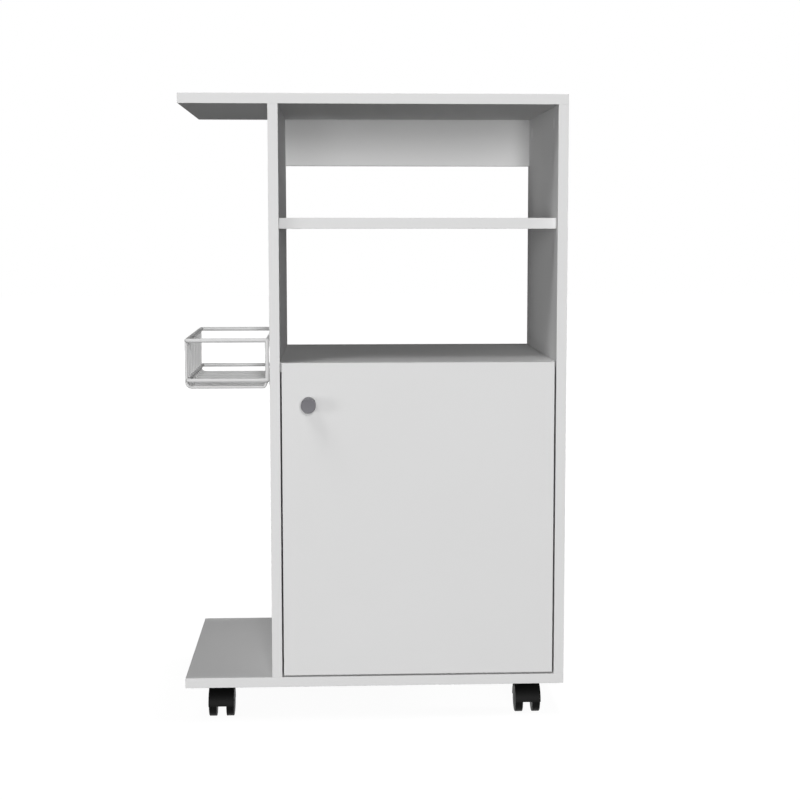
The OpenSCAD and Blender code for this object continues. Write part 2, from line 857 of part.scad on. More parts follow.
top_panel();
left_side_panel();
right_side_panel();
base_panel();
deck_panel();
middle_shelf();
back_rail();
back_panel();
cam_locks();
cam_bolts();
cam_caps();
wood_dowels();
base_screws();
back_panel_nails();
door_bumpers();
door_panel();
door_knob();
knob_screw();
hinge_cups();
hinge_cup_screws();
hinge_pins();
hinge_arms();
hinge_arm_screws();
wire_basket();
basket_screws();
caster_screws();
for (i = [0 : 3]) translate(caster_at(i)) {
    caster_plate();
    caster_kingpin();
    caster_hood();
    caster_axle();
    for (s = [0, 1])
        caster_wheel(2 * s - 1);
}
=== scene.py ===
"""A white microwave cart: boards with banded edges, an inset door with a turned knob, a wire
basket over the wing and black twin-wheel casters. Metres, +Z up, the front at -Y."""

import math

import bmesh
import bpy
import numpy as np
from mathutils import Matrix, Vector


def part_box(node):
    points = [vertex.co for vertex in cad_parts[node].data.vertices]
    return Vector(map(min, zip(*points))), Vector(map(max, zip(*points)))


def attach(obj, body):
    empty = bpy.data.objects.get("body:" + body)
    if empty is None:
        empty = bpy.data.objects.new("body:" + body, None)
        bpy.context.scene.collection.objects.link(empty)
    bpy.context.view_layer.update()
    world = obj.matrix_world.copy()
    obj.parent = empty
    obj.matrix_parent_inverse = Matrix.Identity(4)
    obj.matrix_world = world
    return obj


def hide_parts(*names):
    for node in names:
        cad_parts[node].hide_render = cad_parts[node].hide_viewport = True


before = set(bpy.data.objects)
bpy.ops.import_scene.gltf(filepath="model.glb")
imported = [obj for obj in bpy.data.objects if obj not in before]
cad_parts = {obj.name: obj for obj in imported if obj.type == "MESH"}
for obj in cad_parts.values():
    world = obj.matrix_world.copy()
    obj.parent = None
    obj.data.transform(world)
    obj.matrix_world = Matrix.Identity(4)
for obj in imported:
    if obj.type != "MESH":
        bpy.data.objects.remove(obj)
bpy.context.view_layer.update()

MM = 0.001
# Points nearer than this lie at the same place, in the CAD meshes and in surfaces made here
CAD_TOUCH, TOUCH = 1e-6, 1e-7
WHITE = (1, 1, 1, 1)
CORNERS = ("front_left", "front_right", "rear_left", "rear_right")
SIDES = ("left", "right")


def level(value):
    """Linear light of a screen level from 0 to 255: the sRGB curve."""
    s = value / 255
    return s / 12.92 if s <= 0.04045 else ((s + 0.055) / 1.055) ** 2.4


def grey(value, warm=0.0):
    """A grey by its screen level, with red raised and blue lowered by the share warm."""
    v = level(value)
    return (v * (1 + warm), v, v * (1 - warm), 1.0)


def cool_grey(value):
    """The knob's grey by its screen level, with a breath of violet."""
    return (level(value), level(value - 1), level(value + 3), 1.0)


# ---------------------------------------------------------------- shader maths


class Number:
    """A number in a tree of nodes. Sums, differences and products of it become Math nodes."""

    def __init__(self, tree, socket):
        self.tree, self.socket = tree, socket

    def math(self, operation, *values):
        return self.tree.number("ShaderNodeMath", {"operation": operation}, dict(enumerate(values)))

    def __add__(self, other):
        return self.math("ADD", self, other)

    def __sub__(self, other):
        return self.math("SUBTRACT", self, other)

    def __rsub__(self, other):
        return self.math("SUBTRACT", other, self)

    def __mul__(self, other):
        return self.math("MULTIPLY", self, other)

    def __abs__(self):
        return self.math("ABSOLUTE", self)

    __radd__, __rmul__ = __add__, __mul__

    def larger(self, other):
        return self.math("MAXIMUM", self, other)

    def root(self):
        return self.math("SQRT", self)

    def wave(self, length):
        """Swings between -1 and 1, once for each length."""
        return self.math("SINE", self * (2 * math.pi / length))

    def rise(self, low, high):
        """Goes smoothly from 0 to 1 while the number goes from low to high."""
        sockets = {"Value": self, "From Min": low, "From Max": high}
        return self.tree.number("ShaderNodeMapRange", {"interpolation_type": "SMOOTHSTEP"}, sockets)


class Tree:
    """The nodes of a material or of the world, which start empty."""

    def __init__(self, tree):
        self.nodes, self.links = tree.nodes, tree.links
        self.nodes.clear()

    def node(self, kind, settings=None, sockets=None):
        """Any node: its settings first, then the values or links of its sockets."""
        made = self.nodes.new(kind)
        for key, value in (settings or {}).items():
            setattr(made, key, value)
        for key, value in (sockets or {}).items():
            self.feed(made.inputs[key], value)
        return made

    def feed(self, socket, value):
        value = getattr(value, "socket", value)
        if isinstance(value, bpy.types.NodeSocket):
            self.links.new(value, socket)
        else:
            socket.default_value = value

    def number(self, kind, settings, sockets, output=0):
        return Number(self, self.node(kind, settings, sockets).outputs[output])

    def seen(self):
        """1 where a ray comes from the camera, a gloss or a glass, else 0."""
        path = self.node("ShaderNodeLightPath").outputs
        eye, gloss, glass = (
            Number(self, path[f"Is {kind} Ray"]) for kind in ("Camera", "Glossy", "Transmission")
        )
        return eye.larger(gloss).larger(glass)


class Finish(Tree):
    """One material. What is the same all over it is given by the names of the shader's sockets."""

    def __init__(self, name, **sockets):
        self.material = bpy.data.materials.new(name)
        self.material.use_nodes = True
        super().__init__(self.material.node_tree)
        self.shell = self.node("ShaderNodeBsdfPrincipled", {}, sockets)
        surface = {"Surface": self.shell.outputs[0]}
        self.output = self.node("ShaderNodeOutputMaterial", {}, surface)
        self.place = self.node("ShaderNodeTexCoord").outputs["Object"]

    def shift(self, scale=(1, 1, 1), offset=(0, 0, 0)):
        """The place on the piece, stretched by scale and moved by offset."""
        sockets = {"Vector": self.place, "Location": offset, "Scale": scale}
        return self.node("ShaderNodeMapping", {}, sockets).outputs[0]

    def noise(self, scale, detail=2.0, rough=0.5, place=None):
        """Cloudy noise from 0 to 1 with that many lumps a metre."""
        sockets = {
            "Vector": place or self.place,
            "Scale": scale,
            "Detail": detail,
            "Roughness": rough,
        }
        return self.number("ShaderNodeTexNoise", {}, sockets)

    def axis(self, index):
        """One coordinate of the place on the piece."""
        return self.number("ShaderNodeSeparateXYZ", {}, {0: self.place}, index)

    def mix(self, factor, first, second):
        """A colour that goes from first to second with factor."""
        sockets = {0: factor, 6: first, 7: second}
        return self.node("ShaderNodeMix", {"data_type": "RGBA"}, sockets).outputs[2]

    def bump(self, height, distance, strength):
        """Tilts the shading by a height from 0 to 1 that stands for distance in metres."""
        sockets = {"Height": height, "Distance": distance, "Strength": strength}
        self.feed(self.shell.inputs["Normal"], self.node("ShaderNodeBump", {}, sockets).outputs[0])

    def set(self, **values):
        """Feeds sockets of the shader by name, with an underscore for each space."""
        for key, value in values.items():
            self.feed(self.shell.inputs[key.replace("_", " ")], value)


# ---------------------------------------------------------------- finishes

BOARD_GREY = 220
# The edge band's thickness, and the glue line's half width and strength
BAND_T, SEAM_W, SEAM_SHARE = 0.9 * MM, 0.16 * MM, 0.35
# How far the laminate's pattern moves from one board to the next
PATTERN_STEP = (3.7, 1.9, 5.3)
# From one turning ring of the knob to the next
TURNING_PITCH = 0.35 * MM


def melamine(name, node, bands, seed):
    """White laminate: faint clouds, a fine pearl in the gloss, and a thin glue line at BAND_T
    from each banded edge, where the distance to the edge's plane equals the band's thickness.
    The seed moves the pattern, so that no two boards show the same one."""
    f = Finish(name, **{"Specular IOR Level": 0.02})
    low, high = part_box(node)
    place = tuple(seed * step for step in PATTERN_STEP)
    clouds = f.noise(7, 3, 0.5, f.shift(offset=place))
    pearl = f.noise(1300, 2, 0.6, f.shift(offset=place))
    seam = None
    for axis, side in bands:
        plane = (low, high)[side][axis]
        line = abs(abs(f.axis(axis) - plane) - BAND_T).rise(SEAM_W, SEAM_W * 0.4)
        seam = line if seam is None else seam.larger(line)
    paper = f.mix(clouds, grey(BOARD_GREY - 1.5, 0.001), grey(BOARD_GREY + 1.5, -0.001))
    f.set(Base_Color=f.mix(seam * SEAM_SHARE, paper, grey(BOARD_GREY - 60, 0.02)))
    f.set(Roughness=0.7 + 0.06 * pearl + 0.04 * clouds)
    f.bump(pearl, 0.012 * MM, 0.35)
    return f.material


def hardboard():
    """Thin fibre board with a light coat: short fibres show through as a fine mottle."""
    f = Finish("hardboard", **{"Specular IOR Level": 0.15})
    fibres = f.noise(420, 4, 0.65, f.shift((1, 1, 0.35)))
    clouds = f.noise(11, 3)
    coat = f.mix(fibres, grey(196, 0.012), grey(212, 0.006))
    f.set(Base_Color=f.mix(clouds * 0.3, coat, grey(203, 0.015)), Roughness=0.62 + 0.14 * fibres)
    f.bump(fibres, 0.05 * MM, 0.5)
    return f.material


def zinc(name, value, rough):
    """Zinc plated steel: a grainy bloom in colour and gloss."""
    f = Finish(name, Metallic=1.0)
    bloom = f.noise(520, 3, 0.6)
    stains = f.noise(60, 2)
    f.set(Base_Color=f.mix(bloom, grey(value - 12, 0.004), grey(value + 10, -0.006)))
    f.set(Roughness=rough + 0.12 * bloom + 0.08 * stains)
    f.bump(bloom, 0.01 * MM, 0.4)
    return f.material


def wire_paint():
    """Light grey powder coat on wire: fine orange peel, a little deeper in some spots."""
    f = Finish("wire_paint", **{"Specular IOR Level": 0.08})
    peel = f.noise(900, 2)
    dust = f.noise(90, 3, 0.6)
    f.set(Base_Color=f.mix(dust, grey(208), grey(216)), Roughness=0.46 + 0.12 * peel)
    f.bump(peel, 0.02 * MM, 0.4)
    return f.material


def turned_metal(centre):
    """Satin grey knob: fine rings round its axis from turning, as waves of the distance to it."""
    f = Finish("turned_metal", **{"Specular IOR Level": 0.12, "Metallic": 0.1})
    across, up = f.axis(0) - centre[0], f.axis(2) - centre[2]
    rings = (across * across + up * up).root().wave(TURNING_PITCH)
    grain = f.noise(700, 3)
    tone = 0.5 + 0.18 * rings + 0.5 * (grain - 0.5)
    f.set(Base_Color=f.mix(tone, cool_grey(98), cool_grey(110)), Roughness=0.42 + 0.1 * grain)
    f.bump(tone, 0.01 * MM, 0.5)
    return f.material


def moulded(name, value, rough, scale, depth):
    """Black moulded plastic: a spark-eroded grain in bump and gloss, and paler rubbed spots."""
    f = Finish(name, **{"Specular IOR Level": 0.08})
    grain = f.noise(scale, 3, 0.6)
    rubbed = f.noise(55, 3, 0.6).rise(0.55, 0.8)
    f.set(Base_Color=f.mix(rubbed * 0.5 + grain * 0.3, grey(value), grey(value + 8)))
    f.set(Roughness=rough + 0.14 * grain + 0.08 * rubbed)
    f.bump(grain, depth, 0.6)
    return f.material


def beech():
    """Bare dowel wood: long grain along each dowel's X."""
    f = Finish("beech", **{"Specular IOR Level": 0.2})
    grain = f.noise(300, 4, 0.6, f.shift((0.08, 1, 1)))
    f.set(Base_Color=f.mix(grain, (0.42, 0.27, 0.13, 1), (0.6, 0.42, 0.22, 1)))
    f.set(Roughness=0.6 + 0.15 * grain)
    f.bump(grain, 0.05 * MM, 0.5)
    return f.material


def clear_rubber():
    """Soft clear stop: milky, with a faint haze."""
    f = Finish("clear_rubber", **{"Specular IOR Level": 0.45, "Transmission Weight": 0.25})
    haze = f.noise(240, 2)
    f.set(Base_Color=f.mix(haze, grey(206), grey(222)), Roughness=0.3 + 0.15 * haze)
    f.bump(haze, 0.02 * MM, 0.3)
    return f.material


def cap_plastic():
    """Smooth white plastic of the caps over the cam locks."""
    f = Finish("cap_plastic", **{"Specular IOR Level": 0.35})
    flow = f.noise(180, 2)
    f.set(Base_Color=f.mix(flow, grey(222), grey(230)), Roughness=0.34 + 0.08 * flow)
    f.bump(flow, 0.01 * MM, 0.3)
    return f.material


# ---------------------------------------------------------------- surfaces

# How far the end of a rod bulges, as a share of its radius
END_DOME = 0.6


def dressed(mesh, name, material, body, node=None):
    """A piece made of a mesh: its material, the body it rides on and the node it stands for."""
    mesh.materials.clear()
    mesh.materials.append(material)
    piece = bpy.data.objects.new(name, mesh)
    bpy.context.collection.objects.link(piece)
    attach(piece, body)
    if node:
        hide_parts(node)
    return piece


def make(name, surface, material, body, node=None):
    """A piece from a surface: its points, and arrays of faces with equally many corners."""
    points, faces = surface
    mesh = bpy.data.meshes.new(name)
    mesh.from_pydata(points.tolist(), [], [face for block in faces for face in block.tolist()])
    mesh.validate()
    mesh.shade_smooth()
    return dressed(mesh, name, material, body, node)


def join(surfaces):
    """Several surfaces as one: each one's faces count on from the points before it."""
    starts = np.cumsum([0] + [len(points) for points, _ in surfaces])
    faces = [block + start for (_, blocks), start in zip(surfaces, starts) for block in blocks]
    return np.concatenate([points for points, _ in surfaces]), faces


def points_of(mesh):
    """All points of a mesh, as rows of x, y and z."""
    points = np.empty(len(mesh.vertices) * 3)
    mesh.vertices.foreach_get("co", points)
    return points.reshape(-1, 3)


def sheet_faces(rows, columns, wrap_rows=False):
    """Quads of a grid that is closed along its columns, and along its rows if asked."""
    last = rows if wrap_rows else rows - 1
    r, c = np.meshgrid(np.arange(last), np.arange(columns), indexing="ij")
    down, right = (r + 1) % rows * columns, (c + 1) % columns
    quads = np.stack([r * columns + c, r * columns + right, down + right, down + c], -1)
    return quads.reshape(-1, 4)


def end_faces(count, sides):
    """Two faces that close a tube: its first ring, turned round, and its last."""
    return np.stack([np.arange(sides)[::-1], np.arange(count - sides, count)])


def rod(path, plane, radius, sides, closed=False):
    """A round rod along a flat path. Each ring is path + r (cos a * plane normal + sin a * side),
    where side is tangent x normal. Open ends close in a dome of rings r cos b wide, which stand
    END_DOME * r sin b beyond the path."""
    path, plane = np.asarray(path, float), np.asarray(plane, float)
    if closed:
        tangent = np.roll(path, -1, 0) - np.roll(path, 1, 0)
        wide = np.ones(len(path))
    else:
        b = np.radians([84, 62, 40, 18])
        first, last = path[1] - path[0], path[-1] - path[-2]
        first, last = first / np.linalg.norm(first), last / np.linalg.norm(last)
        head = path[0] - np.outer(np.sin(b) * radius * END_DOME, first)
        tail = path[-1] + np.outer(np.sin(b[::-1]) * radius * END_DOME, last)
        inner = np.gradient(path, axis=0)
        tangent = np.vstack([np.tile(first, (len(b), 1)), inner, np.tile(last, (len(b), 1))])
        path = np.vstack([head, path, tail])
        wide = np.concatenate([np.cos(b), np.ones(len(inner)), np.cos(b[::-1])])
    tangent = tangent / np.linalg.norm(tangent, axis=1, keepdims=True)
    side = np.cross(tangent, plane)
    a = np.arange(sides) * 2 * np.pi / sides
    ring = np.cos(a)[None, :, None] * plane + np.sin(a)[None, :, None] * side[:, None, :]
    points = (path[:, None, :] + radius * wide[:, None, None] * ring).reshape(-1, 3)
    faces = [sheet_faces(len(path), sides, closed)]
    if not closed:
        faces.append(end_faces(len(points), sides))
    return points, faces


def bent(corners, radii, steps=8, closed=False):
    """A path with its square corners rounded: corner - a r + b r - b r cos t + a r sin t, with a
    the way in, b the way out, r the corner's radius and t from 0 to 90 degrees."""
    corners = np.asarray(corners, float)
    radii = np.broadcast_to(radii, len(corners))
    t = np.radians(np.linspace(0, 90, steps + 1))[:, None]
    turns = range(len(corners)) if closed else range(1, len(corners) - 1)
    path = [] if closed else [corners[:1]]
    for i in turns:
        here, before, after = corners[i], corners[i - 1], corners[(i + 1) % len(corners)]
        a = (here - before) / np.linalg.norm(here - before)
        b = (after - here) / np.linalg.norm(after - here)
        path.append(here + radii[i] * (b - a - b * np.cos(t) + a * np.sin(t)))
    if not closed:
        path.append(corners[-1:])
    return np.concatenate(path)


def turned(profile, centre, axis, sides):
    """A turned shape: each (radius, along) of the profile goes round the axis. It closes at
    radius 0 at both ends."""
    profile, centre, axis = (np.asarray(value, float) for value in (profile, centre, axis))
    u = np.roll(axis, 1)
    v = np.cross(axis, u)
    a = np.arange(sides) * 2 * np.pi / sides
    circle = np.cos(a)[:, None] * u + np.sin(a)[:, None] * v
    body = profile[1:-1]
    rings = centre + body[:, 1, None, None] * axis + body[:, 0, None, None] * circle[None]
    ends = centre + profile[[0, -1], 1][:, None] * axis
    points = np.vstack([rings.reshape(-1, 3), ends])
    here = np.arange(sides)
    after, top = (here + 1) % sides, (len(body) - 1) * sides
    first, last = np.full(sides, len(points) - 2), np.full(sides, len(points) - 1)
    fans = [np.stack([first, after, here], -1), np.stack([last, top + here, top + after], -1)]
    return points, [sheet_faces(len(body), sides)] + fans


def soft_block(low, high, ease, steps=3):
    """A block with eased edges: a sphere of radius ease whose eight octants are moved out to the
    block's corners. Its normal at p is p minus the nearest point of the inner block."""
    low, high = np.asarray(low, float), np.asarray(high, float)
    half = (high - low) / 2 - ease
    row = steps + 1
    u = np.concatenate([np.radians(np.linspace(q * 90, q * 90 + 90, row)) for q in range(4)])
    v = np.radians(np.concatenate([np.linspace(-90, 0, row), np.linspace(0, 90, row)]))
    sx, sy = np.repeat([1, -1, -1, 1], row), np.repeat([1, 1, -1, -1], row)
    sz = np.repeat([-1, 1], row)
    v, u = np.meshgrid(v, u, indexing="ij")
    ball = np.stack([np.cos(v) * np.cos(u), np.cos(v) * np.sin(u), np.sin(v)], -1)
    signs = np.stack(np.broadcast_arrays(sx[None, :], sy[None, :], sz[:, None]), -1)
    points = ((low + high) / 2 + half * signs + ease * ball).reshape(-1, 3)
    quarter = np.arange(4) * row
    top = (len(sz) - 1) * len(sx)
    lids = np.stack([quarter[::-1], top + quarter])
    return points, [sheet_faces(len(sz), len(sx)), lids]


def merged(piece):
    """Merges points that coincide, drops faces with no area and turns the faces outwards."""
    b = bmesh.new()
    b.from_mesh(piece.data)
    bmesh.ops.remove_doubles(b, verts=b.verts, dist=TOUCH)
    bmesh.ops.dissolve_degenerate(b, edges=b.edges, dist=TOUCH)
    bmesh.ops.recalc_face_normals(b, faces=b.faces)
    b.to_mesh(piece.data)
    b.free()


def box_edges(mesh):
    """1 for each edge of a mesh along an edge of its box, else 0: both its ends lie on the same
    two sides of the box."""
    points = points_of(mesh)
    low, high = points.min(0), points.max(0)
    at = (abs(points - low) < CAD_TOUCH).astype(int) - (abs(points - high) < CAD_TOUCH)
    ends = np.empty(len(mesh.edges) * 2, int)
    mesh.edges.foreach_get("vertices", ends)
    first, second = at[ends[::2]], at[ends[1::2]]
    return (((first == second) & (first != 0)).sum(1) >= 2).astype(float)


def eased_copy(node, material, body, slot, width, steps=3, outline=True):
    """A copy of a CAD node, merged to flat faces, with its edges eased by a bevel: those of its
    outer box only, or with outline=False every edge sharper than 40 degrees."""
    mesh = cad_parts[node].data.copy()
    b = bmesh.new()
    b.from_mesh(mesh)
    bmesh.ops.remove_doubles(b, verts=b.verts, dist=CAD_TOUCH)
    bmesh.ops.dissolve_limit(b, angle_limit=math.radians(0.2), verts=b.verts, edges=b.edges)
    b.to_mesh(mesh)
    b.free()
    mesh.shade_smooth()
    mesh.set_sharp_from_angle(angle=math.radians(30))
    piece = dressed(mesh, node + "_eased", material, body, node)
    easing = piece.modifiers.new("easing", "BEVEL")
    easing.width, easing.segments = width, steps
    easing.use_clamp_overlap = True
    if outline:
        weight = box_edges(mesh)
        weights = mesh.attributes.new("bevel_weight_edge", "FLOAT", "EDGE")
        weights.data.foreach_set("value", weight)
        easing.limit_method, easing.vmesh_method = "WEIGHT", "CUTOFF"
        sharp = mesh.attributes["sharp_edge"].data
        flags = np.zeros(len(mesh.edges), bool)
        sharp.foreach_get("value", flags)
        sharp.foreach_set("value", flags & (weight < 0.5))
    else:
        easing.limit_method, easing.angle_limit = "ANGLE", math.radians(40)
    flat = piece.modifiers.new("flat_faces", "WEIGHTED_NORMAL")
    flat.keep_sharp, flat.weight = True, 100


# ---------------------------------------------------------------- boards and door

# A banded edge as its axis and its lower or higher side
LEFT, RIGHT, FRONT, BACK, BELOW, ABOVE = (0, 0), (0, 1), (1, 0), (1, 1), (2, 0), (2, 1)
BOARDS = {
    "top_panel": (LEFT, RIGHT, FRONT, BACK),
    "base_panel": (LEFT, RIGHT, FRONT, BACK),
    "left_side_panel": (FRONT, BACK),
    "right_side_panel": (FRONT, BACK),
    "deck_panel": (FRONT, BACK),
    "middle_shelf": (FRONT, BACK),
    "back_rail": (BELOW,),
    "door_panel": (LEFT, RIGHT, BELOW, ABOVE),
}
BOARD_EASE = 0.5 * MM
for seed, (node, bands) in enumerate(BOARDS.items(), 1):
    body = "door" if node == "door_panel" else "cabinet"
    finish = melamine("melamine_" + node, node, bands, seed)
    eased_copy(node, finish, body, "white_board", BOARD_EASE)

KNOB_RIM, KNOB_DISH = 0.7 * MM, 0.25 * MM
# The shadow step at the door, as distance beyond the knob's radius and height over the door
KNOB_STEP = np.array([(-0.8, 0), (-0.8, 0.35), (-0.15, 0.5), (0, 0.8)]) * MM


def knob():
    """The knob: a turned cylinder with a thin shadow step at the door, a rim eased by a quarter
    circle, and a face dished with the square of the share of its radius."""
    low, high = (np.array(c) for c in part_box("door_knob"))
    r, length = (high[0] - low[0]) / 2, high[1] - low[1]
    centre = np.array([(low[0] + high[0]) / 2, high[1], (low[2] + high[2]) / 2])
    inner, face = r - KNOB_RIM, length - KNOB_RIM
    profile = [(0, 0)] + list(KNOB_STEP + (r, 0)) + [(r, face)]
    t = np.radians(np.linspace(0, 90, 7))[1:]
    profile += list(zip(inner + KNOB_RIM * np.cos(t), face + KNOB_RIM * np.sin(t)))
    share = np.linspace(0.94, 0.06, 8)
    profile += list(zip(inner * share, length - KNOB_DISH * (1 - share**2)))
    profile += [(0, length - KNOB_DISH)]
    surface = turned(profile, centre, (0, -1, 0), sides=96)
    metal = turned_metal(centre)
    piece = make("door_knob_turned", surface, metal, "door", "door_knob")
    merged(piece)
    piece.data.set_sharp_from_angle(angle=math.radians(35))


knob()

# Points of the CAD caps that lie nearer than this belong to one cap
CAP_REACH = 22 * MM
CAP_RISE = 0.35 * MM


def caps():
    """The caps over the cam locks: low lenses, as high as 1 minus the fourth power of the share
    of their radius. Each lies where a cap of the CAD node lies, against the board."""
    points = points_of(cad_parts["cam_caps"].data)
    share = np.array([0.985, 0.95, 0.88, 0.75, 0.55, 0.3])
    lenses = []
    while len(points):
        near = np.linalg.norm(points - points[0], axis=1) < CAP_REACH
        cap, points = points[near], points[~near]
        low, high = cap.min(0), cap.max(0)
        middle, wide = (low + high) / 2, (high - low).max() / 2
        thin = int(np.argmin(high - low))
        reach = np.linalg.norm(np.delete(cap - middle, thin, 1), axis=1)
        lower, upper = (
            reach[abs(cap[:, thin] - plane) < CAD_TOUCH].max() for plane in (low[thin], high[thin])
        )
        # The cap's face with the smaller ring is its outer one
        outward = 1 if upper < lower else -1
        axis = np.zeros(3)
        axis[thin] = outward
        middle[thin] = low[thin] if outward > 0 else high[thin]
        profile = [(0, 0), (wide / 2, 0), (wide, 0)]
        profile += list(zip(wide * share, CAP_RISE * (1 - share**4))) + [(0, CAP_RISE)]
        lenses.append(turned(profile, middle, axis, sides=40))
    merged(make("cam_cap_lenses", join(lenses), cap_plastic(), "cabinet", "cam_caps"))


caps()

# ---------------------------------------------------------------- basket

RING_R, WIRE_R, POST_R = 3 * MM, 2 * MM, 3 * MM
RING_BEND, WIRE_BEND, WELD = 5 * MM, 8 * MM, 0.4 * MM
# From the rim down to the underside, and from there up to the lower ring
BASKET_H, RING_LIFT = 75 * MM, 13 * MM
# How far the lower ring sits inside the legs, the legs inside the rings, a post inside a corner
RING_LET_IN, LEG_LET_IN, POST_LET_IN = 2.2 * MM, 1.2 * MM, 0.5 * MM
# Air between the rings and the panel's face
PANEL_GAP = 0.2 * MM
TAB_T, TAB_W, TAB_H, TAB_EASE = 2 * MM, 16 * MM, 14 * MM, 0.45 * MM
WIRES = 10
ALONG, UP = (0, 1, 0), (0, 0, 1)


def nugget(centre, reach, rows=7, columns=10):
    """A weld nugget: a sphere stretched by reach on each axis, with flat poles at 75 degrees."""
    a = np.arange(columns) * 2 * np.pi / columns
    b, a = np.meshgrid(np.radians(np.linspace(-75, 75, rows)), a, indexing="ij")
    ball = np.stack([np.cos(b) * np.cos(a), np.cos(b) * np.sin(a), np.sin(b)], -1).reshape(-1, 3)
    faces = [sheet_faces(rows, columns), end_faces(rows * columns, columns)]
    return np.asarray(centre) + ball * np.asarray(reach), faces


def ring(left, right, front, back, height):
    """A closed ring of rod with rounded corners."""
    corners = [(left, front), (right, front), (right, back), (left, back)]
    path = bent([(x, y, height) for x, y in corners], RING_BEND, closed=True)
    return rod(path, UP, RING_R, sides=20, closed=True)


def basket():
    """Two closed rings, ten bent wires, two posts at the panel, their welds and four tabs."""
    low, high = (np.array(c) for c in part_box("wire_basket"))
    inset = RING_R + WIRE_R - WELD
    top = high[2] - RING_R
    floor = high[2] - BASKET_H + WIRE_R
    lower = floor - WIRE_R + RING_LIFT
    ring_l, ring_r = low[0] + RING_R, high[0] - PANEL_GAP - RING_R
    leg_l, leg_r = low[0] + WIRE_R, ring_r - inset + LEG_LET_IN
    front, back = low[1] + RING_R, high[1] - RING_R
    parts = [
        ring(ring_l, ring_r, front, back, top),
        ring(leg_l + RING_LET_IN, ring_r, front, back, lower),
    ]
    # A wire's corners as x and z, with its ends a little past the rings' middles, and its bends
    wire = [(leg_l, top + 0.6 * MM), (leg_l, floor), (leg_r, floor), (leg_r, lower + 2 * MM)]
    bends = (0, WIRE_BEND, WIRE_BEND / 2, 0)
    # Each weld's x and z, and its reach in millimetres: lower left, lower right, upper left
    welds = (
        (leg_l + 1.6 * MM, lower + 2.6 * MM, (1.5, 2.2, 1.3)),
        ((leg_r + ring_r) / 2 - 0.4 * MM, lower, (1.5, 2.2, 1.8)),
        (leg_l + 0.6 * MM, top - RING_R + 0.2 * MM, (2.3, 2.6, 1.2)),
    )
    rows = np.linspace(front + RING_BEND + inset, back - RING_BEND - inset, WIRES)
    for y in rows:
        path = bent([(x, y, z) for x, z in wire], bends, steps=10)
        parts.append(rod(path, ALONG, WIRE_R, sides=14))
        parts += [nugget((x, y, z), np.array(reach) * MM) for x, z, reach in welds]
    for y in (front + POST_LET_IN, back - POST_LET_IN):
        path = [(ring_r - POST_LET_IN, y, z) for z in np.linspace(lower, top, 4)]
        parts.append(rod(path, ALONG, POST_R, sides=20))
    paint = wire_paint()
    piece = make("basket_wires", join(parts), paint, "cabinet", "wire_basket")
    piece.data.set_sharp_from_angle(angle=math.radians(50))
    tabs = []
    for gap in (1, WIRES - 3):
        y = (rows[gap] + rows[gap + 1]) / 2
        for z in (lower, top):
            near = (high[0] - TAB_T, y - TAB_W / 2, z - TAB_H)
            tabs.append(soft_block(near, (high[0], y + TAB_W / 2, z), TAB_EASE))
    merged(make("basket_tabs", join(tabs), paint, "cabinet"))


basket()

# ---------------------------------------------------------------- casters

HOOD_PLASTIC = moulded("hood_plastic", 12, 0.5, 1500, 0.03 * MM)
WHEEL_PLASTIC = moulded("wheel_plastic", 7, 0.34, 900, 0.015 * MM)
HOOD_EASE, PLATE_EASE = 0.45 * MM, 0.3 * MM
WHEEL_EDGE, WHEEL_DOME = 1.5 * MM, 1.2 * MM
# The tread's grooves: their places as shares of its width, their half width and their depth
TREAD_GROOVES, GROOVE_W, GROOVE_D = (0.34, 0.66), 0.35 * MM, 0.3 * MM
# The recess round the axle on the inner face, as radius and depth
AXLE_RECESS = np.array([(0, 1.2), (3.6, 1.2), (3.9, 0.9), (4.2, 0.2)]) * MM
# The groove in the inner face, as distance in from the tread and depth
INNER_GROOVE = np.array([(5, 0), (4.6, 0.5), (2, 0.5), (1.6, 0)]) * MM
# The outer face from its edge to its middle: share of the radius, and dip below the dome
FACE_SHARE = np.array(
    [0.93, 0.86, 0.8, 0.77, 0.75, 0.72, 0.69, 0.6, 0.5, 0.4, 0.36, 0.34, 0.31, 0.2, 0.1]
)
FACE_DIP = np.array([0, 0, 0, 0.25, 0.35, 0.25, 0, 0, 0, 0, 0.25, 0.3, 0, 0, 0]) * MM


def wheel(node, body, outward):
    """A wheel: flat inner face, crowned tread with two fine grooves, and a domed outer face with
    a shallow ring and a hub cap. The dome falls off with the square of the radius."""
    low, high = (np.array(c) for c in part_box(node))
    r, width = (high[2] - low[2]) / 2, high[0] - low[0]
    centre = (low + high) / 2
    centre[0] = low[0] if outward > 0 else high[0]
    rim, edge = width - WHEEL_DOME, WHEEL_EDGE
    t = np.radians(np.linspace(0, 90, 6))
    profile = list(AXLE_RECESS) + list(zip(r - INNER_GROOVE[:, 0], INNER_GROOVE[:, 1]))
    profile += list(zip(r - edge / 2 + edge / 2 * np.sin(t), edge / 2 - edge / 2 * np.cos(t)))
    for middle in (rim * place for place in TREAD_GROOVES):
        profile += [(r, middle - GROOVE_W), (r - GROOVE_D, middle), (r, middle + GROOVE_W)]
    profile += list(zip(r - edge + edge * np.cos(t), rim - edge + edge * np.sin(t)))
    profile += list(zip((r - edge) * FACE_SHARE, width - WHEEL_DOME * FACE_SHARE**2 - FACE_DIP))
    profile += [(0, width)]
    surface = turned(profile, centre, (outward, 0, 0), sides=80)
    piece = make(node + "_turned", surface, WHEEL_PLASTIC, body, node)
    merged(piece)
    piece.data.set_sharp_from_angle(angle=math.radians(38))


